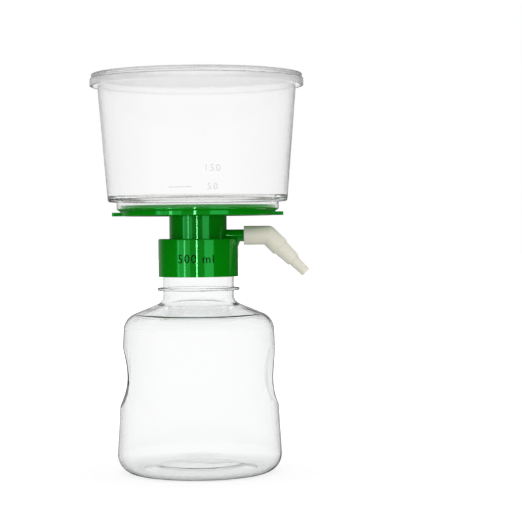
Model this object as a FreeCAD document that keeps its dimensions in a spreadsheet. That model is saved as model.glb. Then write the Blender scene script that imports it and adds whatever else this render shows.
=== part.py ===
"""Bottle-top vacuum filter unit: lidded funnel and filter base on a receiver bottle with a hose adapter.

Millimetres. The Z axis is the bottle's own axis, +Z up, and the origin is the centre of the
circle on which the bottle's foot ring stands. The vacuum port points along +X.
"""
import FreeCAD, Part
import math
import os
import re

import Sketcher

SIZES = {
    # Receiver bottle: the body is a slightly tapered cone between heel and shoulder.
    "bottle_wall": 1.5,
    "body_foot_radius": 47.74,
    "shoulder_radius": 42.87,
    "shoulder_height": 88.9,
    "heel_round": 10.8,
    "shoulder_round": 10.0,
    "foot_width": 3.94,
    "foot_inner_round": 1.5,
    "pushup_slope_width": 8.0,
    "pushup_rim_height": 3.4,
    "pushup_centre_height": 4.2,
    "pushup_round": 8.0,
    # Bottle neck, with the ring that the collar stops above.
    "neck_radius": 20.3,
    "neck_wall": 2.5,
    "shoulder_rise": 9.4,
    "neck_length": 32.1,
    "neck_round": 5.5,
    "neck_ring_rise": 7.2,
    "neck_ring_overhang": 3.3,
    "neck_ring_thickness": 1.6,
    "neck_ring_round": 0.5,
    # Two finger grips pressed into opposite sides of the body.
    "grip_sink": 1.67,
    "grip_height": 53.6,
    "grip_upper_curve": 66.0,
    "grip_lower_curve": 28.0,
    "grip_edge_round": 3.0,
    "grip_cutter_margin": 3.0,
    "grip_angle": 4.9,
    # Screw thread between neck and collar.
    "thread_pitch": 4.0,
    "thread_depth": 0.9,
    "thread_root_width": 2.2,
    "thread_crest_width": 1.0,
    "thread_clearance": 0.25,
    "thread_bite": 0.4,
    "thread_drop": 11.4,
    "neck_thread_turns": 1.5,
    "collar_thread_turns": 1.0,
    # Gasket between the bottle's rim and the collar's ceiling.
    "gasket_thickness": 1.5,
    "gasket_overhang": 0.4,
    "gasket_clearance": 0.35,
    # Filter base: collar, stem and disc in one moulding, with a ledge for the skirt and two ears.
    "collar_wall": 1.45,
    "collar_roof": 2.4,
    "collar_length": 21.7,
    "collar_round": 0.7,
    "stem_radius": 16.5,
    "stem_wall": 1.6,
    "stem_length": 14.2,
    "stem_round": 0.8,
    "disc_radius": 44.6,
    "disc_thickness": 4.8,
    "plate_thickness": 2.2,
    "disc_rim_width": 3.1,
    "disc_rim_drop": 1.0,
    "disc_rim_round": 0.4,
    "ledge_rise": 4.1,
    "ledge_overhang": 1.7,
    "ledge_root": 1.6,
    "ledge_edge": 0.5,
    "ear_overhang": 4.5,
    "ear_width": 10.0,
    "ear_thickness": 2.1,
    "ear_round": 1.2,
    "drip_tube_radius": 6.0,
    "drip_tube_wall": 1.3,
    "drip_tube_length": 32.5,
    # Ribs that carry the membrane over the dish.
    "rib_width": 1.0,
    "cross_rib_count": 4,
    "long_rib_start": 9.0,
    "long_rib_count": 12,
    "short_rib_start": 24.0,
    "short_rib_count": 24,
    # Vacuum port on the stem.
    "port_rise": 1.7,
    "port_radius": 3.45,
    "port_wall": 1.55,
    "port_free_length": 2.4,
    "port_grip_length": 11.4,
    "gusset_length": 1.0,
    "gusset_bite": 0.4,
    "gusset_root_depth": 3.9,
    "gusset_tip_depth": 0.4,
    "gusset_width": 1.6,
    # Filter membrane.
    "membrane_inset": 0.4,
    "membrane_thickness": 0.25,
    # Funnel, whose skirt and inner ring hold the membrane on the disc.
    "funnel_wall": 1.5,
    "funnel_height": 70.0,
    "funnel_flare": 5.7,
    "funnel_floor_overhang": 4.9,
    "funnel_floor_rise": 2.2,
    "funnel_floor_thickness": 1.6,
    "funnel_corner_round": 1.6,
    "funnel_inner_round": 2.2,
    "skirt_wall": 1.6,
    "skirt_clearance": 0.4,
    "clamp_ring_inset": 1.6,
    "clamp_ring_round": 0.4,
    "rim_overhang": 2.0,
    "rim_thickness": 1.4,
    "rim_edge_round": 0.4,
    # Lid: its channel drops over the funnel's rim.
    "lid_clearance": 0.4,
    "lid_band_wall": 0.85,
    "lid_skirt_step": 0.8,
    "lid_skirt_drop": 4.9,
    "lid_step_drop": 1.2,
    "lid_top_thickness": 1.7,
    "lid_top_round": 0.5,
    "lid_wall": 1.1,
    "lid_panel_thickness": 1.3,
    "lid_panel_drop": 1.3,
    "lid_panel_round": 0.8,
    # Hose adapter: socket barrel, bend, and an arm that steps down twice to its tip.
    "adapter_radius": 5.4,
    "adapter_bore_radius": 1.7,
    "adapter_mouth_round": 0.3,
    "bend_margin": 2.5,
    "arm_angle": 44.8,
    "port_clearance": 0.05,
    "socket_end_gap": 0.3,
    "shank_length": 10.1,
    "middle_length": 10.4,
    "middle_start_radius": 4.67,
    "middle_end_radius": 4.12,
    "tip_length": 10.1,
    "tip_start_radius": 3.35,
    "tip_end_radius": 2.85,
    "arm_edge_round": 0.3,
}

# Levels and radii that features share, as formulas of the sizes.
FOOT_INNER_RADIUS = "(body_foot_radius - heel_round - foot_width)"
NECK_BASE = "(shoulder_height + shoulder_rise)"
NECK_TOP = f"({NECK_BASE} + neck_length)"
NECK_THREAD = f"({NECK_TOP} - thread_drop)"
COLLAR_BORE = "(neck_radius + thread_depth + thread_clearance)"
COLLAR_RADIUS = f"({COLLAR_BORE} + collar_wall)"
COLLAR_CEILING = f"({NECK_TOP} + gasket_thickness)"
COLLAR_TOP = f"({COLLAR_CEILING} + collar_roof)"
DISC_BOTTOM = f"({COLLAR_TOP} + stem_length)"
DISC_TOP = f"({DISC_BOTTOM} + disc_thickness)"
DISC_FOOT = f"({DISC_BOTTOM} - disc_rim_drop)"
LEDGE_TOP = f"({DISC_FOOT} + ledge_rise)"
SKIRT_INNER = "(disc_radius + skirt_clearance)"
SKIRT_RADIUS = f"({SKIRT_INNER} + skirt_wall)"
PORT_HEIGHT = f"({COLLAR_TOP} + port_rise)"
GUSSET_REACH = f"({COLLAR_RADIUS} + gusset_length)"
ADAPTER_REACH = f"({GUSSET_REACH} + port_free_length)"
PORT_REACH = f"({ADAPTER_REACH} + port_grip_length)"
FUNNEL_FLOOR = f"({DISC_TOP} + funnel_floor_rise)"
FUNNEL_FLOOR_RADIUS = f"({SKIRT_RADIUS} + funnel_floor_overhang)"
FUNNEL_TOP_RADIUS = f"({FUNNEL_FLOOR_RADIUS} + funnel_flare)"
RIM_BOTTOM = f"({FUNNEL_FLOOR} + funnel_height)"
RIM_TOP = f"({RIM_BOTTOM} + rim_thickness)"
RIM_RADIUS = f"({FUNNEL_TOP_RADIUS} + rim_overhang)"

doc = FreeCAD.newDocument("vacuum_filter_unit")
sheet = doc.addObject("Spreadsheet::Sheet", "size")


def fill_sheet():
    """Write each size as a plain number in a cell that has the size's name as its alias."""
    for row, (name, value) in enumerate(SIZES.items(), start=1):
        sheet.set(f"A{row}", name)
        sheet.set(f"B{row}", str(value))
        sheet.setAlias(f"B{row}", name)
    doc.recompute()


def formula(text):
    """Turn plain size names into references to the sheet's cells."""
    return re.sub(r"[a-z]\w*", r"size.\g<0>", str(text))


def value(text):
    """Work out a formula of size names as a number."""
    return float(sheet.evalExpression(formula(text)))


def bind(item, prop, text):
    """Tie a property to a formula of size names."""
    item.setExpression(prop, formula(text))


def new_body(label):
    body = doc.addObject("PartDesign::Body", label)
    body.Label = label
    return body


def new_sketch(body, name, role="XZ_Plane"):
    """Attach an empty sketch to one of the body's own origin planes."""
    sketch = body.newObject("Sketcher::SketchObject", name)
    plane = next(item for item in body.Origin.OriginFeatures if item.Role == role)
    sketch.AttachmentSupport = [(plane, "")]
    sketch.MapMode = "FlatFace"
    return sketch


def place_point(sketch, line, point, across, up):
    """Dimension a point of the sketch from its origin, and tie both dimensions to the sheet."""
    for kind, text in (("DistanceX", across), ("DistanceY", up)):
        index = sketch.addConstraint(Sketcher.Constraint(kind, -1, 1, line, point, value(text)))
        bind(sketch, f"Constraints[{index}]", text)


def tie_radius(sketch, curve, text):
    index = sketch.addConstraint(Sketcher.Constraint("Radius", curve, value(text)))
    bind(sketch, f"Constraints[{index}]", text)


def draw_outline(sketch, corners):
    """Draw a closed outline. A corner is (across, up) or (across, up, round), as formulas."""
    first = sketch.GeometryCount
    places = [FreeCAD.Vector(value(corner[0]), value(corner[1]), 0) for corner in corners]
    for start, end in zip(places, places[1:] + places[:1]):
        sketch.addGeometry(Part.LineSegment(start, end), False)
    lines = list(range(first, first + len(corners)))
    for line, following in zip(lines, lines[1:] + lines[:1]):
        sketch.addConstraint(Sketcher.Constraint("Coincident", line, 2, following, 1))
    for line, corner in zip(lines, corners):
        place_point(sketch, line, 1, corner[0], corner[1])
    for line, corner in zip(lines, corners):
        if len(corner) > 2:
            curve = sketch.GeometryCount
            sketch.fillet(line, 1, value(corner[2]), True, True)
            tie_radius(sketch, curve, corner[2])


def draw_circle(sketch, across, up, radius):
    centre = FreeCAD.Vector(value(across), value(up), 0)
    circle = Part.Circle(centre, FreeCAD.Vector(0, 0, 1), value(radius))
    index = sketch.addGeometry(circle, False)
    place_point(sketch, index, 3, across, up)
    tie_radius(sketch, index, radius)


def add_turned(body, name, corners, slope=None):
    """Turn an outline about the body's Z axis, or about X or a sloping axis when slope is given."""
    return turn_outline(body, "PartDesign::Revolution", name, corners, slope)


def cut_turned(body, name, corners, slope=None):
    """Cut away a turned outline, as add_turned adds one."""
    before = body.Shape.Volume
    groove = turn_outline(body, "PartDesign::Groove", name, corners, slope)
    check_cut(body, groove, before)
    return groove


def turn_outline(body, kind, name, corners, slope):
    sketch = new_sketch(body, name + "_outline")
    if slope is not None:
        bind(sketch, "AttachmentOffset.Rotation.Angle", slope)
    draw_outline(sketch, corners)
    feature = body.newObject(kind, name)
    feature.Profile = sketch
    feature.ReferenceAxis = (sketch, ["V_Axis" if slope is None else "H_Axis"])
    feature.Angle = 360
    doc.recompute()
    return feature


def check_cut(body, feature, before):
    """Stop if a cutting feature took nothing away."""
    if not body.Shape.Volume < before - 1e-3:
        raise RuntimeError(f"{feature.Name} cuts nothing from {body.Label}")


def repeat_round(body, feature, name, count):
    """Repeat a feature evenly about the body's Z axis, and make the pattern count."""
    axis = next(item for item in body.Origin.OriginFeatures if item.Role == "Z_Axis")
    pattern = body.newObject("PartDesign::PolarPattern", name)
    pattern.Originals = [feature]
    pattern.Axis = (axis, [""])
    pattern.Angle = 360
    if isinstance(count, int):
        pattern.Occurrences = count
    else:
        bind(pattern, "Occurrences", count)
    body.Tip = pattern
    doc.recompute()
    return pattern


def add_thread(body, name, root_radius, crest_radius, height, turns):
    """Wind a ridge of trapezoidal section, from root to crest, about the Z axis."""
    sketch = new_sketch(body, name + "_section")
    draw_outline(sketch, [
        (root_radius, f"{height} - thread_root_width / 2"),
        (crest_radius, f"{height} - thread_crest_width / 2"),
        (crest_radius, f"{height} + thread_crest_width / 2"),
        (root_radius, f"{height} + thread_root_width / 2"),
    ])
    ridge = body.newObject("PartDesign::AdditiveHelix", name)
    ridge.Profile = sketch
    ridge.ReferenceAxis = (sketch, ["V_Axis"])
    ridge.Mode = "pitch-turns-angle"
    bind(ridge, "Pitch", "thread_pitch")
    bind(ridge, "Turns", turns)
    doc.recompute()
    return ridge


def bottle_form(label, inset, neck_inset):
    """Body, shoulder and neck as a full solid, drawn in from the outside by the given insets."""
    body = new_body(label)
    add_turned(body, label + "_turned", [
        ("0", f"pushup_centre_height + {inset}"),
        (f"{FOOT_INNER_RADIUS} - pushup_slope_width", f"pushup_rim_height + {inset}", "pushup_round"),
        (FOOT_INNER_RADIUS, f"{inset}", "foot_inner_round"),
        (f"body_foot_radius - {inset}", f"{inset}", f"heel_round - {inset}"),
        (f"shoulder_radius - {inset}", f"shoulder_height - {inset}", f"shoulder_round - {inset}"),
        (f"neck_radius - {neck_inset}", f"{NECK_BASE} - {inset}", f"neck_round + {inset}"),
        (f"neck_radius - {neck_inset}", NECK_TOP),
        ("0", NECK_TOP),
    ])
    press_grips(body, inset)
    return body


def press_grips(body, inset):
    """Press in the two finger grips: each is two arcs that meet at the grip's deepest level."""
    before = body.Shape.Volume
    sketch = new_sketch(body, body.Label + "_grip_section")
    bind(sketch, "AttachmentOffset.Rotation.Angle", "grip_angle")
    sketch.AttachmentOffset = FreeCAD.Placement(
        FreeCAD.Vector(0, 0, 0), FreeCAD.Rotation(FreeCAD.Vector(0, 1, 0), value("grip_angle")))
    floor = f"shoulder_radius - grip_sink - {inset}"
    draw_grip_section(sketch, floor, f"grip_upper_curve + {inset}", f"grip_lower_curve + {inset}")
    pocket = body.newObject("PartDesign::Pocket", body.Label + "_grip")
    pocket.Profile = sketch
    pocket.Midplane = True
    bind(pocket, "Length", "2 * body_foot_radius")
    doc.recompute()
    check_cut(body, pocket, before)
    repeat_round(body, pocket, body.Label + "_grips", 2)
    soften_grip_edges(body, inset)


def draw_grip_section(sketch, floor, upper_radius, lower_radius):
    """Close the upper arc, the lower arc and a line that stands clear outside the bottle."""
    height = value("grip_height")
    deepest = FreeCAD.Vector(value(floor), height, 0)
    outside = "body_foot_radius + grip_cutter_margin"
    reach = value(outside)
    ends = []
    for radius, side in ((value(upper_radius), 1), (value(lower_radius), -1)):
        centre = FreeCAD.Vector(deepest.x + radius, height, 0)
        rise = math.sqrt(radius ** 2 - (centre.x - reach) ** 2)
        end = FreeCAD.Vector(reach, height + side * rise, 0)
        circle = Part.Circle(centre, FreeCAD.Vector(0, 0, 1), radius)
        turn_to_end = math.atan2(end.y - centre.y, end.x - centre.x) % (2 * math.pi)
        angles = sorted((turn_to_end, math.pi))
        sketch.addGeometry(Part.ArcOfCircle(circle, *angles), False)
        ends.append(end)
    sketch.addGeometry(Part.LineSegment(ends[0], ends[1]), False)
    upper, lower, line = range(3)
    sketch.addConstraint(Sketcher.Constraint("Coincident", upper, 2, lower, 1))
    sketch.addConstraint(Sketcher.Constraint("Coincident", upper, 1, line, 1))
    sketch.addConstraint(Sketcher.Constraint("Coincident", lower, 2, line, 2))
    place_point(sketch, upper, 2, floor, "grip_height")
    for curve, radius in ((upper, upper_radius), (lower, lower_radius)):
        tie_radius(sketch, curve, radius)
        index = sketch.addConstraint(Sketcher.Constraint("DistanceY", -1, 1, curve, 3, height))
        bind(sketch, f"Constraints[{index}]", "grip_height")
    sketch.addConstraint(Sketcher.Constraint("Vertical", line))
    index = sketch.addConstraint(Sketcher.Constraint("DistanceX", -1, 1, line, 1, reach))
    bind(sketch, f"Constraints[{index}]", outside)


def soften_grip_edges(body, inset):
    """Round the edges where the grips meet the body's cone."""
    pressed = body.Tip
    names = []
    for number, edge in enumerate(pressed.Shape.Edges, start=1):
        faces = pressed.Shape.ancestorsOfType(edge, Part.Face)
        kinds = {type(face.Surface).__name__ for face in faces}
        if kinds == {"Cylinder", "Cone"} and edge.BoundBox.XLength < value("body_foot_radius"):
            names.append(f"Edge{number}")
    fillet = body.newObject("PartDesign::Fillet", body.Label + "_grip_edges")
    fillet.Base = (pressed, names)
    bind(fillet, "Radius", f"grip_edge_round - {inset}")
    doc.recompute()


def receiver_bottle():
    """Blow-moulded bottle: outer form with neck ring and thread, less the inner form."""
    outside = bottle_form("bottle_outside", "0", "0")
    ring_middle = f"{NECK_BASE} + neck_ring_rise"
    ring_radius = "neck_radius + neck_ring_overhang"
    add_turned(outside, "neck_ring", [
        ("neck_radius - neck_wall / 2", f"{ring_middle} - neck_ring_thickness / 2"),
        (ring_radius, f"{ring_middle} - neck_ring_thickness / 2", "neck_ring_round"),
        (ring_radius, f"{ring_middle} + neck_ring_thickness / 2", "neck_ring_round"),
        ("neck_radius - neck_wall / 2", f"{ring_middle} + neck_ring_thickness / 2"),
    ])
    add_thread(outside, "neck_thread", "neck_radius - thread_bite", "neck_radius + thread_depth",
               NECK_THREAD, "neck_thread_turns")
    inside = bottle_form("bottle_inside", "bottle_wall", "neck_wall")
    bottle = doc.addObject("Part::Cut", "receiver_bottle")
    bottle.Label = "receiver_bottle"
    bottle.Base = outside
    bottle.Tool = inside
    doc.recompute()
    return bottle


def neck_gasket():
    """Flat sealing ring that sits on the bottle's rim, under the collar's ceiling."""
    body = new_body("neck_gasket")
    inner = "neck_radius - neck_wall - gasket_overhang"
    outer = f"{COLLAR_BORE} - gasket_clearance"
    add_turned(body, "gasket_ring", [
        (inner, NECK_TOP),
        (outer, NECK_TOP),
        (outer, COLLAR_CEILING),
        (inner, COLLAR_CEILING),
    ])
    return body


def filter_base():
    """Screw collar, hollow stem, ribbed disc with ledge and ears, drip tube and vacuum port."""
    body = new_body("filter_base")
    collar_bottom = f"{COLLAR_TOP} - collar_length"
    ledge_radius = "disc_radius + ledge_overhang"
    dish_radius = "disc_radius - disc_rim_width"
    dish_floor = f"{DISC_BOTTOM} + plate_thickness"
    drip_bore = "drip_tube_radius - drip_tube_wall"
    drip_end = f"{DISC_BOTTOM} - drip_tube_length"
    stem_bore = "stem_radius - stem_wall"
    add_turned(body, "base_moulding", [
        (COLLAR_RADIUS, collar_bottom),
        (COLLAR_RADIUS, COLLAR_TOP, "collar_round"),
        ("stem_radius", COLLAR_TOP),
        ("stem_radius", DISC_BOTTOM, "stem_round"),
        (dish_radius, DISC_BOTTOM),
        (dish_radius, DISC_FOOT),
        ("disc_radius", DISC_FOOT, "disc_rim_round"),
        ("disc_radius", f"{LEDGE_TOP} - ledge_root"),
        (ledge_radius, f"{LEDGE_TOP} - ledge_edge"),
        (ledge_radius, LEDGE_TOP),
        ("disc_radius", LEDGE_TOP),
        ("disc_radius", DISC_TOP),
        (dish_radius, DISC_TOP),
        (dish_radius, dish_floor),
        (drip_bore, dish_floor),
        (drip_bore, drip_end),
        ("drip_tube_radius", drip_end),
        ("drip_tube_radius", DISC_BOTTOM),
        (stem_bore, DISC_BOTTOM),
        (stem_bore, COLLAR_CEILING),
        (COLLAR_BORE, COLLAR_CEILING),
        (COLLAR_BORE, collar_bottom),
    ])
    add_ears(body)
    add_membrane_ribs(body, dish_floor)
    add_vacuum_port(body)
    add_thread(body, "collar_thread", f"{COLLAR_BORE} + thread_bite", "neck_radius + thread_clearance",
               f"{NECK_THREAD} - thread_pitch / 2", "collar_thread_turns")
    return body


def add_ears(body):
    """Stand two ears out from the foot of the disc's rim, in line with the vacuum port."""
    root = "disc_radius - disc_rim_width / 2"
    reach = "disc_radius + ear_overhang"
    sketch = new_sketch(body, "ear_outline", "XY_Plane")
    bind(sketch, "AttachmentOffset.Base.z", DISC_FOOT)
    draw_outline(sketch, [
        (root, "-ear_width / 2"),
        (reach, "-ear_width / 2", "ear_round"),
        (reach, "ear_width / 2", "ear_round"),
        (root, "ear_width / 2"),
    ])
    ear = body.newObject("PartDesign::Pad", "ear")
    ear.Profile = sketch
    bind(ear, "Length", "ear_thickness")
    doc.recompute()
    repeat_round(body, ear, "ears", 2)


def add_membrane_ribs(body, dish_floor):
    """Stand radial ribs in the dish in three lengths, so that the gaps between them stay even."""
    tiers = (
        ("cross_rib", "0", "cross_rib_count"),
        ("long_rib", "long_rib_start", "long_rib_count"),
        ("short_rib", "short_rib_start", "short_rib_count"),
    )
    rib_end = "disc_radius - disc_rim_width / 2"
    for name, start, count in tiers:
        sketch = new_sketch(body, name + "_outline", "XY_Plane")
        bind(sketch, "AttachmentOffset.Base.z", dish_floor)
        draw_outline(sketch, [
            (start, "-rib_width / 2"),
            (rib_end, "-rib_width / 2"),
            (rib_end, "rib_width / 2"),
            (start, "rib_width / 2"),
        ])
        rib = body.newObject("PartDesign::Pad", name)
        rib.Profile = sketch
        bind(rib, "Length", f"{DISC_TOP} - ({dish_floor})")
        doc.recompute()
        repeat_round(body, rib, name + "s", count)


def add_vacuum_port(body):
    """Side tube from the stem for the hose adapter, bored through, with a gusset on the collar."""
    stem_middle = "stem_radius - stem_wall / 2"
    bore_start = "(drip_tube_radius + stem_radius - stem_wall) / 2"
    tube_sketch = new_sketch(body, "port_circle", "YZ_Plane")
    bind(tube_sketch, "AttachmentOffset.Base.z", stem_middle)
    draw_circle(tube_sketch, "0", PORT_HEIGHT, "port_radius")
    tube = body.newObject("PartDesign::Pad", "port_tube")
    tube.Profile = tube_sketch
    bind(tube, "Length", f"{PORT_REACH} - ({stem_middle})")
    gusset_sketch = new_sketch(body, "gusset_outline")
    gusset_root = f"{COLLAR_RADIUS} - gusset_bite"
    draw_outline(gusset_sketch, [
        (gusset_root, f"{PORT_HEIGHT} - port_radius - gusset_root_depth"),
        (GUSSET_REACH, f"{PORT_HEIGHT} - port_radius - gusset_tip_depth"),
        (GUSSET_REACH, f"{PORT_HEIGHT} - port_radius / 2"),
        (gusset_root, f"{PORT_HEIGHT} - port_radius / 2"),
    ])
    gusset = body.newObject("PartDesign::Pad", "port_gusset")
    gusset.Profile = gusset_sketch
    gusset.Midplane = True
    bind(gusset, "Length", "gusset_width")
    doc.recompute()
    before = body.Shape.Volume
    bore_sketch = new_sketch(body, "port_bore_circle", "YZ_Plane")
    bind(bore_sketch, "AttachmentOffset.Base.z", bore_start)
    draw_circle(bore_sketch, "0", PORT_HEIGHT, "port_radius - port_wall")
    bore = body.newObject("PartDesign::Pocket", "port_bore")
    bore.Profile = bore_sketch
    bore.Reversed = True
    bind(bore, "Length", f"{PORT_REACH} - ({bore_start})")
    doc.recompute()
    check_cut(body, bore, before)


def filter_membrane():
    """Filter disc that lies on the ribs and the disc's edge."""
    membrane = doc.addObject("Part::Cylinder", "filter_membrane")
    membrane.Label = "filter_membrane"
    bind(membrane, "Radius", "disc_radius - membrane_inset")
    bind(membrane, "Height", "membrane_thickness")
    bind(membrane, "Placement.Base.z", DISC_TOP)
    doc.recompute()
    return membrane


def funnel():
    """Tapered cup whose floor is open in the middle and whose skirt stands on the disc's ledge."""
    body = new_body("funnel")
    clamp_ring_radius = "disc_radius - clamp_ring_inset"
    membrane_top = f"{DISC_TOP} + membrane_thickness"
    floor_top = f"{FUNNEL_FLOOR} + funnel_floor_thickness"
    add_turned(body, "funnel_moulding", [
        (SKIRT_RADIUS, LEDGE_TOP),
        (SKIRT_RADIUS, FUNNEL_FLOOR),
        (FUNNEL_FLOOR_RADIUS, FUNNEL_FLOOR, "funnel_corner_round"),
        (FUNNEL_TOP_RADIUS, RIM_BOTTOM),
        (RIM_RADIUS, RIM_BOTTOM, "rim_edge_round"),
        (RIM_RADIUS, RIM_TOP, "rim_edge_round"),
        (f"{FUNNEL_TOP_RADIUS} - funnel_wall", RIM_TOP, "rim_edge_round"),
        (f"{FUNNEL_FLOOR_RADIUS} - funnel_wall", floor_top, "funnel_inner_round"),
        (clamp_ring_radius, floor_top, "clamp_ring_round"),
        (clamp_ring_radius, membrane_top),
        (SKIRT_INNER, membrane_top),
        (SKIRT_INNER, LEDGE_TOP),
    ])
    return body


def lid():
    """Cover with a sunk panel, and a channel round its edge that drops over the funnel's rim."""
    body = new_body("lid")
    channel_radius = f"({RIM_RADIUS} + lid_clearance)"
    band_radius = f"({channel_radius} + lid_band_wall)"
    skirt_radius = f"({band_radius} + lid_skirt_step)"
    skirt_bottom = f"{RIM_TOP} - lid_skirt_drop"
    step_height = f"{RIM_TOP} - lid_step_drop"
    plug_radius = f"({FUNNEL_TOP_RADIUS} - funnel_wall - lid_clearance)"
    lid_top = f"{RIM_TOP} + lid_top_thickness"
    panel_bottom = f"{RIM_TOP} - lid_panel_drop"
    panel_top = f"{panel_bottom} + lid_panel_thickness"
    add_turned(body, "lid_moulding", [
        ("0", panel_bottom),
        (plug_radius, panel_bottom, "lid_panel_round"),
        (plug_radius, RIM_TOP),
        (channel_radius, RIM_TOP),
        (channel_radius, skirt_bottom),
        (skirt_radius, skirt_bottom),
        (skirt_radius, step_height),
        (band_radius, f"{step_height} + lid_skirt_step"),
        (band_radius, lid_top, "lid_top_round"),
        (f"{plug_radius} - lid_wall", lid_top, "lid_panel_round"),
        (f"{plug_radius} - lid_wall", panel_top, "lid_panel_round"),
        ("0", panel_top),
    ])
    return body


def hose_adapter():
    """Elbow that pushes over the port: bored barrel, bend and stepped arm, modelled at its bend."""
    body = new_body("hose_adapter")
    bind(body, "Placement.Base.x", f"{PORT_REACH} + bend_margin")
    bind(body, "Placement.Base.z", PORT_HEIGHT)
    mouth = "-(port_grip_length + bend_margin)"
    socket_end = "socket_end_gap - bend_margin"
    socket_radius = "port_radius + port_clearance"
    middle_end = "shank_length + middle_length"
    arm_end = f"{middle_end} + tip_length"
    add_turned(body, "barrel", [
        (mouth, "0"),
        (mouth, "adapter_radius", "adapter_mouth_round"),
        ("0", "adapter_radius"),
        ("0", "0"),
    ], slope="0")
    bend = body.newObject("PartDesign::AdditiveSphere", "bend")
    bind(bend, "Radius", "adapter_radius")
    add_turned(body, "arm", [
        ("0", "0"),
        ("0", "adapter_radius"),
        ("shank_length", "adapter_radius", "arm_edge_round"),
        ("shank_length", "middle_start_radius"),
        (middle_end, "middle_end_radius", "arm_edge_round"),
        (middle_end, "tip_start_radius"),
        (arm_end, "tip_end_radius", "arm_edge_round"),
        (arm_end, "0"),
    ], slope="-arm_angle")
    cut_turned(body, "socket", [
        (mouth, "0"),
        (mouth, socket_radius),
        (socket_end, socket_radius),
        (socket_end, "0"),
    ], slope="0")
    cut_turned(body, "barrel_bore", [
        (mouth, "0"),
        (mouth, "adapter_bore_radius"),
        ("0", "adapter_bore_radius"),
        ("0", "0"),
    ], slope="0")
    cut_turned(body, "arm_bore", [
        ("0", "0"),
        ("0", "adapter_bore_radius"),
        (arm_end, "adapter_bore_radius"),
        (arm_end, "0"),
    ], slope="-arm_angle")
    return body


def check_document():
    """Stop if any object failed, because a recompute alone doesn't say so."""
    for item in doc.Objects:
        if {"Invalid", "Error"} & set(item.State):
            raise RuntimeError(f"{item.Name} failed: {item.State}")


def export(pieces):
    os.makedirs("parts", exist_ok=True)
    for piece in pieces:
        shape = piece.Shape
        if shape.isNull() or not shape.isValid() or len(shape.Solids) != 1:
            raise RuntimeError(f"{piece.Label} isn't one valid solid")
        shape.exportStep(f"parts/{piece.Label}.step")
        print(piece.Label, round(shape.Volume), "mm3", shape.BoundBox)


fill_sheet()
pieces = [
    receiver_bottle(),
    neck_gasket(),
    filter_base(),
    filter_membrane(),
    funnel(),
    lid(),
    hose_adapter(),
]
doc.recompute()
check_document()
export(pieces)
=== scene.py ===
import math

import bmesh
import bpy
from mathutils import Matrix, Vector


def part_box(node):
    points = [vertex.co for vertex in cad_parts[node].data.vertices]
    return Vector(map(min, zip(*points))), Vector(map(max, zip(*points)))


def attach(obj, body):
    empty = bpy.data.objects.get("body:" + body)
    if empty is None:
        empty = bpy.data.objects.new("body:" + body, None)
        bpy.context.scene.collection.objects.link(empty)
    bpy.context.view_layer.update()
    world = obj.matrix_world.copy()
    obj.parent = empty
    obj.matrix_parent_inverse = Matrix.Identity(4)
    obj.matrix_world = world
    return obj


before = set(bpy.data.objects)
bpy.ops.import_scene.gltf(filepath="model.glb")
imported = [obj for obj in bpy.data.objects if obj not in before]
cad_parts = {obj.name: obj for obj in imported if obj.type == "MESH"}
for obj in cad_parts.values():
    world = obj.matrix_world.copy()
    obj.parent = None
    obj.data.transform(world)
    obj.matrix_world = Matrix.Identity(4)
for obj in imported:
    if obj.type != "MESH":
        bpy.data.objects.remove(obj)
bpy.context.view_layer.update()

# The funnel's foot, read from the frame.
FUNNEL_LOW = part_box("funnel")[0]

# The collar and the funnel's wall, which carry the printed and moulded marks.
COLLAR_RADIUS = 0.0229
FUNNEL_FLOOR_RADIUS = 0.0515
FUNNEL_TOP_RADIUS = 0.0572
FUNNEL_SKIRT_HEIGHT = 0.0039
FUNNEL_WALL_HEIGHT = 0.0700

# The print on the collar and the moulded scale low on the funnel's front.
PRINT_WORDS = "500 ml"
PRINT_HEIGHT = 0.0050
PRINT_SPACING = 1.15
PRINT_MIDDLE = 0.1227
PRINT_ACROSS = -0.0006
PRINT_PROUD = 0.00006
PRINT_DEPTH = 0.0001
SCALE_HEIGHT = 0.0038
SCALE_PROUD = 0.00015
SCALE_DEPTH = 0.00012
SCALE_STEPS = (("50", 0.1629), ("150", 0.1730))
SCALE_ACROSS = 0.0100
SCALE_SPACING = 1.3
LINE_ACROSS = -0.0078
LINE_WIDTH = 0.013
LINE_THICKNESS = 0.0006
CAPITAL_SHARE = 0.73
LINE_CUTS = 12
WELD = 0.000001

# After more meetings with a surface than this, a ray goes straight through clear plastic.
LAST_BEND = 5.5

# Camera: level with the collar, a little to the right of the bottle's axis.
CAMERA_SIDE = 0.0362
CAMERA_DISTANCE = 1.0
CAMERA_HEIGHT = 0.1389
PICTURE_HEIGHT = 0.12113
CAMERA_ROLL = 0.51
LENS = 119.9
SENSOR = 36.0

# Light studio: a white table with a near front edge, a white room with darker sides, and upright
# lamps in front. Lamp angles are degrees from the front, positive to the right.
TABLE_WIDTH = 3.0
TABLE_DEPTH = 8.0
TABLE_FRONT = 0.35
TABLE_COLOUR = (0.80, 0.80, 0.80, 1)
# Painted shade: gloss sees the table in this dim colour instead of as it is lit.
TABLE_IN_MIRROR = (0.12, 0.12, 0.12, 1)
# Painted light: a glow only the eye sees, even near the foot and growing farther out, where it
# washes out the table's shadow.
TABLE_GLOW = 0.30
TABLE_FAR_GLOW = 0.40
TABLE_FAR = (0.06, 0.30)
# Painted shade: clear plastic sees the table's glow fade near the object, so the table looks
# darker there through it.
TABLE_CLEAR_GLOW = 0.28
TABLE_CLEAR_FAR = (0.03, 0.09)
SOFT_LIGHT = 1.0
SOFT_FRONT = 0.75
SOFT_SIDE = 0.10
MIRROR_WHITE = 0.40
MIRROR_FRONT = 0.30
MIRROR_DARK = 0.05
CLEAR_FRONT = 1.0
CLEAR_SIDE = 0.90

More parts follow.
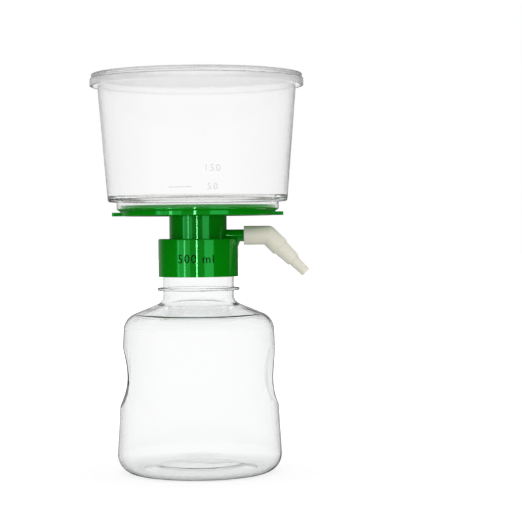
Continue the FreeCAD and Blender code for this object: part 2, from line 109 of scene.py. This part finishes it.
# Directions are parts of a unit vector: each pair is where one look starts and ends turning
# into the next. A lean moves the turn sideways.
SOFT_FRONT_TURN = (0.2, 0.9)
SOFT_UP_TURN = (0.15, 0.45)
MIRROR_FRONT_TURN = (0.45, 0.70)
MIRROR_FRONT_LEAN = 0.15
MIRROR_BEHIND_TURN = (0.70, 1.10)
MIRROR_BEHIND_LEAN = 0.35
MIRROR_DOWN_TURN = (0.05, 0.25)
CLEAR_FRONT_TURN = (0.1, 0.6)
CLEAR_BEHIND_TURN = (0.35, 0.75)
CLEAR_UP_TURN = (0.20, 0.40)

LAMP_DISTANCE = 1.8
LAMP_LOW = 0.00
LAMP_HIGH = 0.30
# Each lamp: name, angle, spread, brightness.
PANELS = (("left panel", -41.5, 40, 1.9), ("right panel", 33, 27, 3.0))
BASE_STRIP = ("far left strip", -56.6, 4, 2.5)
STRIPS = (("left strip", -37.6, 4, 7.0), ("front strip", -2.2, 3, 28.0))

# Colours as linear light.
GREEN = (0.0006, 0.24, 0.0022, 1)
DEEP_GREEN = (0.0004, 0.19, 0.0015, 1)
IVORY = (0.80, 0.78, 0.68, 1)
WARM_IVORY = (0.76, 0.74, 0.63, 1)
MEMBRANE_WHITE = (0.90, 0.90, 0.88, 1)
GASKET_WHITE = (0.80, 0.80, 0.78, 1)
INK_BLACK = (0.006, 0.006, 0.006, 1)
LEAF_LIGHT = (0.30, 1.0, 0.60)
WHITE_LIGHT = (1, 1, 1)
CLEAR = (1, 1, 1, 1)
WHITE = (1, 1, 1, 1)
STRAIGHT_TINT = (0.97, 0.97, 0.97, 1)
GREEN_SHEEN = (0.25, 1.0, 0.42, 1)

# Clear plastics: name, refraction, roughness, colour it takes with depth, how fast it takes it.
CLEAR_PLASTICS = {
    "funnel": ("funnel clear plastic", 1.49, 0.07, (0.90, 0.91, 0.92, 1), 14.0),
    "lid": ("lid clear plastic", 1.49, 0.16, (0.90, 0.91, 0.92, 1), 10.0),
    "receiver_bottle": ("bottle clear plastic", 1.50, 0.01, (0.90, 0.92, 0.93, 1), 60.0),
}
SCALE_PLASTIC = ("moulded scale plastic", 1.49, 0.45, (0.55, 0.56, 0.58, 1), 900.0)


class Wire:
    """An output socket. Arithmetic with wires and numbers adds the Math nodes."""

    def __init__(self, tree, socket):
        self.tree = tree
        self.socket = socket

    def add(self, kind, settings=None, inputs=None, output=0):
        """Add a node from its type, its settings, and a value or wire for each input."""
        node = self.tree.nodes.new(kind)
        for name, value in (settings or {}).items():
            if name == "stops":
                fill_ramp(node.color_ramp, value)
            else:
                setattr(node, name, value)
        for name, value in (inputs or {}).items():
            if isinstance(value, Wire):
                self.tree.links.new(value.socket, node.inputs[name])
            else:
                node.inputs[name].default_value = value
        return Wire(self.tree, node.outputs[output] if node.outputs else None)

    def math(self, operation, *values):
        return self.add("ShaderNodeMath", {"operation": operation}, dict(enumerate(values)))

    def __add__(self, other):
        return self.math("ADD", self, other)

    def __radd__(self, other):
        return self.math("ADD", other, self)

    def __sub__(self, other):
        return self.math("SUBTRACT", self, other)

    def __rsub__(self, other):
        return self.math("SUBTRACT", other, self)

    def __mul__(self, other):
        return self.math("MULTIPLY", self, other)

    def __rmul__(self, other):
        return self.math("MULTIPLY", other, self)

    def mix(self, factor, first, second):
        """Blend two shaders: factor 0 gives the first and 1 the second."""
        return self.add("ShaderNodeMixShader", inputs={0: factor, 1: first, 2: second})

    def step(self, low, high):
        """0 below low and 1 above high, with a smooth rise between."""
        return self.add("ShaderNodeMapRange", {"interpolation_type": "SMOOTHSTEP"}, {
            "Value": self, "From Min": low, "From Max": high})


def fill_ramp(ramp, stops):
    """Give a colour ramp its stops: pairs of a place and a colour."""
    while len(ramp.elements) < len(stops):
        ramp.elements.new(0.5)
    for element, (place, colour) in zip(ramp.elements, stops):
        element.position = place
        element.color = colour


def open_tree(owner):
    """Empty a material's or world's node tree and return a wire to build it from."""
    owner.use_nodes = True
    owner.node_tree.nodes.clear()
    return Wire(owner.node_tree, None)


def speckle(start, scale, detail=3.0, stretch=(1, 1, 1)):
    """Noise between 0 and 1 fixed to the piece, finer as scale grows."""
    place = start.add("ShaderNodeTexCoord", output="Object")
    place = start.add("ShaderNodeMapping", inputs={"Vector": place, "Scale": stretch})
    return start.add("ShaderNodeTexNoise", inputs={
        "Vector": place, "Scale": scale, "Detail": detail})


def finish_surface(start, surface, volume=None):
    inputs = {"Surface": surface}
    if volume is not None:
        inputs["Volume"] = volume
    start.add("ShaderNodeOutputMaterial", inputs=inputs)


def clear_plastic(name, ior, roughness, absorb, depth):
    """Clear moulded plastic: faint flow waves on the surface, and a tint that grows with depth.
    Shadow rays pass straight through, and so do rays past their last bend."""
    material = bpy.data.materials.new(name)
    start = open_tree(material)
    waves = speckle(start, 55.0, 2.0, (1, 1, 0.35))
    normal = start.add("ShaderNodeBump", inputs={
        "Height": waves, "Strength": 0.05, "Distance": 0.002})
    body = start.add("ShaderNodeBsdfPrincipled", inputs={
        "Base Color": CLEAR, "Roughness": roughness, "IOR": ior, "Transmission Weight": 1.0,
        "Normal": normal})
    open_air = start.add("ShaderNodeBsdfTransparent", inputs={"Color": STRAIGHT_TINT})
    paths = start.tree.nodes.new("ShaderNodeLightPath")
    shadow, depth_so_far = (Wire(start.tree, paths.outputs[output]) for output in (
        "Is Shadow Ray", "Ray Depth"))
    late = start.math("GREATER_THAN", depth_so_far, LAST_BEND)
    surface = start.mix(start.math("MAXIMUM", shadow, late), body, open_air)
    tint = start.add("ShaderNodeVolumeAbsorption", inputs={"Color": absorb, "Density": depth})
    finish_surface(start, surface, tint)
    return material


def green_plastic():
    """Glossy opaque green with slight clouding from the mould."""
    material = bpy.data.materials.new("base green plastic")
    start = open_tree(material)
    clouds = speckle(start, 60.0)
    colour = start.add("ShaderNodeMix", {"data_type": "RGBA"}, {
        0: clouds, 6: DEEP_GREEN, 7: GREEN}, output=2)
    grain = speckle(start, 2400.0, 2.0)
    normal = start.add("ShaderNodeBump", inputs={
        "Height": grain, "Strength": 0.01, "Distance": 0.0001})
    body = start.add("ShaderNodeBsdfPrincipled", inputs={
        "Base Color": colour, "Roughness": 0.045 + 0.02 * clouds, "IOR": 1.49,
        "Specular IOR Level": 0.7, "Specular Tint": GREEN_SHEEN, "Normal": normal})
    finish_surface(start, body)
    return material


def ivory_plastic():
    """Satin polypropylene, slightly waxy, with faint colour drift."""
    material = bpy.data.materials.new("adapter ivory plastic")
    start = open_tree(material)
    drift = speckle(start, 90.0)
    colour = start.add("ShaderNodeMix", {"data_type": "RGBA"}, {
        0: drift, 6: WARM_IVORY, 7: IVORY}, output=2)
    grain = speckle(start, 1800.0, 2.0)
    normal = start.add("ShaderNodeBump", inputs={
        "Height": grain, "Strength": 0.12, "Distance": 0.0002})
    body = start.add("ShaderNodeBsdfPrincipled", inputs={
        "Base Color": colour, "Roughness": 0.38 + 0.12 * drift, "IOR": 1.49,
        "Subsurface Weight": 0.25, "Subsurface Radius": (0.9, 0.8, 0.6),
        "Subsurface Scale": 0.003, "Normal": normal})
    finish_surface(start, body)
    return material


def fibrous_white(name, colour, grain_scale, roughness):
    """Matt white sheet or rubber with a fine grain."""
    material = bpy.data.materials.new(name)
    start = open_tree(material)
    grain = speckle(start, grain_scale, 4.0)
    darker = tuple(0.9 * part for part in colour[:3]) + (1,)
    shade = start.add("ShaderNodeMix", {"data_type": "RGBA"}, {
        0: grain, 6: darker, 7: colour}, output=2)
    normal = start.add("ShaderNodeBump", inputs={
        "Height": grain, "Strength": 0.2, "Distance": 0.0001})
    body = start.add("ShaderNodeBsdfPrincipled", inputs={
        "Base Color": shade, "Roughness": roughness + 0.1 * grain, "Normal": normal})
    finish_surface(start, body)
    return material


def printed_ink():
    """Flat black print, slightly worn."""
    material = bpy.data.materials.new("print black")
    start = open_tree(material)
    wear = speckle(start, 4000.0)
    body = start.add("ShaderNodeBsdfPrincipled", inputs={
        "Base Color": INK_BLACK, "Roughness": 0.45 + 0.2 * wear, "Specular IOR Level": 0.05})
    finish_surface(start, body)
    return material


def give_material(node, material):
    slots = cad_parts[node].data.materials
    slots.clear()
    slots.append(material)


def dress_nodes():
    for node, finish in CLEAR_PLASTICS.items():
        give_material(node, clear_plastic(*finish))
    give_material("filter_base", green_plastic())
    give_material("hose_adapter", ivory_plastic())
    give_material("filter_membrane", fibrous_white(
        "membrane white", MEMBRANE_WHITE, 3000.0, 0.75))
    give_material("neck_gasket", fibrous_white("gasket white", GASKET_WHITE, 900.0, 0.6))


def ray_kinds(start):
    """Wires that are 1 for rays from the eye, for rays mirrored by gloss, and for rays through
    clear plastic."""
    paths = start.tree.nodes.new("ShaderNodeLightPath")
    seen, mirrored, through = (Wire(start.tree, paths.outputs[name]) for name in (
        "Is Camera Ray", "Is Glossy Ray", "Is Transmission Ray"))
    return seen, mirrored * (1 - through), through


def table():
    """Pale table top with a soft shadow. A glow keeps it white to the eye and in clear plastic; it
    is painted light that grows away from the foot and washes the shadow out there. Painted shade:
    in clear plastic the glow fades near the object, and gloss sees the table dim.
    """
    middle = TABLE_DEPTH / 2 - TABLE_FRONT
    bpy.ops.mesh.primitive_plane_add(size=1, location=(0, middle, 0))
    top = bpy.context.object
    top.name = "table top"
    top.scale = (TABLE_WIDTH, TABLE_DEPTH, 1)
    material = bpy.data.materials.new("table white")
    start = open_tree(material)
    seen, mirrored, through = ray_kinds(start)
    place = start.add("ShaderNodeNewGeometry", output="Position")
    away = start.add("ShaderNodeVectorMath", {"operation": "LENGTH"}, {0: place}, output="Value")
    pale, dim = (start.add("ShaderNodeBsdfDiffuse", inputs={"Color": colour})
                 for colour in (TABLE_COLOUR, TABLE_IN_MIRROR))
    # Painted shade: mirrored rays see the table in the dim colour.
    matt = start.mix(mirrored, pale, dim)
    # Painted light: the eye's glow grows away from the foot and washes out the shadow there.
    lift = seen * (TABLE_GLOW + TABLE_FAR_GLOW * away.step(*TABLE_FAR))
    # Painted shade: through clear plastic the glow fades near the object.
    lift = lift + through * (TABLE_CLEAR_GLOW * away.step(*TABLE_CLEAR_FAR))
    colour = start.add("ShaderNodeCombineColor", inputs={0: lift, 1: lift, 2: lift})
    glow = start.add("ShaderNodeEmission", inputs={"Color": colour, "Strength": 1.0})
    surface = start.add("ShaderNodeAddShader", inputs={0: matt, 1: glow})
    finish_surface(start, surface)
    top.data.materials.append(material)


def room():
    """World: white to the eye, soft light from above for matt surfaces, and its own look in gloss
    and in clear plastic."""
    world = bpy.data.worlds.new("studio room")
    bpy.context.scene.world = world
    start = open_tree(world)
    direction = start.add("ShaderNodeTexCoord", output="Generated")
    apart = start.tree.nodes.new("ShaderNodeSeparateXYZ")
    start.tree.links.new(direction.socket, apart.inputs[0])
    right, behind, height = (Wire(start.tree, apart.outputs[name]) for name in "XYZ")
    seen, mirrored, through = ray_kinds(start)
    (white, soft, soft_front, soft_side, mirror_white, mirror_front, mirror_dark, clear_front,
     clear_side) = (
        start.add("ShaderNodeBackground", inputs={"Color": WHITE, "Strength": strength})
        for strength in (1.0, SOFT_LIGHT, SOFT_FRONT, SOFT_SIDE, MIRROR_WHITE, MIRROR_FRONT,
                         MIRROR_DARK, CLEAR_FRONT, CLEAR_SIDE))
    front = 0 - behind
    matt = start.mix(front.step(*SOFT_FRONT_TURN), soft_side, soft_front)
    matt = start.mix(height.step(*SOFT_UP_TURN), matt, soft)
    front_lean = (front - MIRROR_FRONT_LEAN * right).step(*MIRROR_FRONT_TURN)
    behind_lean = (behind - MIRROR_BEHIND_LEAN * right).step(*MIRROR_BEHIND_TURN)
    in_mirror = start.mix(front_lean, mirror_dark, mirror_front)
    in_mirror = start.mix(behind_lean, in_mirror, mirror_white)
    in_mirror = start.mix((0 - height).step(*MIRROR_DOWN_TURN), in_mirror, mirror_dark)
    in_clear = start.mix(front.step(*CLEAR_FRONT_TURN), clear_side, clear_front)
    in_clear = start.mix(behind.step(*CLEAR_BEHIND_TURN), in_clear, white)
    in_clear = start.mix(height.step(*CLEAR_UP_TURN), in_clear, white)
    surface = start.mix(mirrored, matt, in_mirror)
    surface = start.mix(through, surface, in_clear)
    surface = start.mix(seen, surface, white)
    start.add("ShaderNodeOutputWorld", inputs={"Surface": surface})


def upright_lamp(name, azimuth, spread, brightness, colour, lit):
    """Soft light that faces the object's axis and lights one collection: spread is its width in
    degrees as seen from there."""
    lamp = bpy.data.lights.new(name, "AREA")
    lamp.shape = "RECTANGLE"
    lamp.size = 2 * LAMP_DISTANCE * math.tan(math.radians(spread / 2))
    lamp.size_y = LAMP_HIGH - LAMP_LOW
    lamp.energy = brightness * math.pi * lamp.size * lamp.size_y
    lamp.color = colour
    holder = bpy.data.objects.new(name, lamp)
    bpy.context.scene.collection.objects.link(holder)
    turn = math.radians(azimuth)
    holder.location = (LAMP_DISTANCE * math.sin(turn), -LAMP_DISTANCE * math.cos(turn),
                       (LAMP_LOW + LAMP_HIGH) / 2)
    holder.rotation_euler = (math.radians(90), 0, turn)
    holder.visible_transmission = False
    holder.light_linking.receiver_collection = lit


def lit_pieces(name, nodes):
    """A collection of nodes for a lamp to light."""
    group = bpy.data.collections.new(name)
    for node in nodes:
        group.objects.link(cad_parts[node])
    return group


def lamps():
    base = lit_pieces("green base", ["filter_base"])
    adapter = lit_pieces("adapter alone", ["hose_adapter"])
    opaque = lit_pieces("opaque pieces", ["filter_base", "hose_adapter", "neck_gasket"])
    for piece, lit, colour in (("base", base, LEAF_LIGHT), ("adapter", adapter, WHITE_LIGHT)):
        for name, azimuth, spread, brightness in PANELS:
            upright_lamp(f"{name} for {piece}", azimuth, spread, brightness, colour, lit)
    upright_lamp(*BASE_STRIP, LEAF_LIGHT, base)
    for strip in STRIPS:
        upright_lamp(*strip, WHITE_LIGHT, opaque)


def funnel_radius(height):
    """Outer radius of the funnel's wall at a height above the table."""
    rise = (height - FUNNEL_LOW[2] - FUNNEL_SKIRT_HEIGHT) / FUNNEL_WALL_HEIGHT
    return FUNNEL_FLOOR_RADIUS + rise * (FUNNEL_TOP_RADIUS - FUNNEL_FLOOR_RADIUS)


def collar_radius(height):
    return COLLAR_RADIUS


def wrap_round(piece, radius_at):
    """Bend a flat piece (x across, y up, z out) round the upright axis, facing the front."""
    for vertex in piece.data.vertices:
        across, height, out = vertex.co
        radius = radius_at(height)
        turn = across / radius
        radius += out
        vertex.co = (radius * math.sin(turn), -radius * math.cos(turn), height)


def add_mark(piece, material):
    """Weld a mark's mesh, give it its material and let it ride on the head."""
    mesh = bmesh.new()
    mesh.from_mesh(piece.data)
    bmesh.ops.remove_doubles(mesh, verts=mesh.verts, dist=WELD)
    bmesh.ops.recalc_face_normals(mesh, faces=mesh.faces)
    mesh.to_mesh(piece.data)
    mesh.free()
    piece.data.materials.clear()
    piece.data.materials.append(material)
    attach(piece, "head")


def words_mark(name, words, height, spacing, middle, across, proud, depth, radius_at, material):
    """Raised words wrapped round the axis: middle is their height above the table."""
    font = bpy.data.curves.new(name, "FONT")
    font.body = words
    font.size = height / CAPITAL_SHARE
    font.align_x = "CENTER"
    font.align_y = "CENTER"
    font.extrude = (proud + depth) / 2
    font.space_character = spacing
    font.resolution_u = 4
    flat = bpy.data.objects.new(name, font)
    bpy.context.scene.collection.objects.link(flat)
    shaped = flat.evaluated_get(bpy.context.evaluated_depsgraph_get())
    solid = bpy.data.meshes.new_from_object(shaped)
    bpy.data.objects.remove(flat)
    piece = bpy.data.objects.new(name, solid)
    bpy.context.scene.collection.objects.link(piece)
    solid.transform(Matrix.Translation((across, middle, (proud - depth) / 2)))
    wrap_round(piece, radius_at)
    add_mark(piece, material)


def line_mark(name, width, thickness, middle, across, material):
    """A raised level line on the funnel's wall."""
    grid = bmesh.new()
    bmesh.ops.create_cube(grid, size=1.0)
    bmesh.ops.scale(grid, verts=grid.verts, vec=(width, thickness, SCALE_PROUD + SCALE_DEPTH))
    long_edges = [edge for edge in grid.edges
                  if abs(edge.verts[0].co.x - edge.verts[1].co.x) > thickness]
    bmesh.ops.subdivide_edges(grid, edges=long_edges, cuts=LINE_CUTS, use_grid_fill=True)
    place = (across, middle, (SCALE_PROUD - SCALE_DEPTH) / 2)
    bmesh.ops.translate(grid, verts=grid.verts, vec=place)
    mesh = bpy.data.meshes.new(name)
    grid.to_mesh(mesh)
    grid.free()
    piece = bpy.data.objects.new(name, mesh)
    bpy.context.scene.collection.objects.link(piece)
    wrap_round(piece, funnel_radius)
    add_mark(piece, material)


def marks():
    """The print on the collar, and the lowest line of the funnel's scale with two numbers."""
    ink = printed_ink()
    frosted = clear_plastic(*SCALE_PLASTIC)
    words_mark("collar_print", PRINT_WORDS, PRINT_HEIGHT, PRINT_SPACING, PRINT_MIDDLE,
               PRINT_ACROSS, PRINT_PROUD, PRINT_DEPTH, collar_radius, ink)
    line_mark("scale_line", LINE_WIDTH, LINE_THICKNESS, SCALE_STEPS[0][1], LINE_ACROSS, frosted)
    for volume, middle in SCALE_STEPS:
        words_mark(f"scale_number_{volume}", volume, SCALE_HEIGHT, SCALE_SPACING, middle,
                   SCALE_ACROSS, SCALE_PROUD, SCALE_DEPTH, funnel_radius, frosted)


def camera():
    lens = bpy.data.cameras.new("camera")
    lens.lens = LENS
    lens.sensor_width = SENSOR
    holder = bpy.data.objects.new("camera", lens)
    bpy.context.scene.collection.objects.link(holder)
    holder.location = (CAMERA_SIDE, -CAMERA_DISTANCE, CAMERA_HEIGHT)
    tilt = math.atan2(PICTURE_HEIGHT - CAMERA_HEIGHT, CAMERA_DISTANCE)
    holder.rotation_euler = (math.radians(90) + tilt, math.radians(CAMERA_ROLL), 0)
    bpy.context.scene.camera = holder


camera()
room()
table()
dress_nodes()
lamps()
marks()

bpy.context.scene.view_settings.view_transform = "Standard"
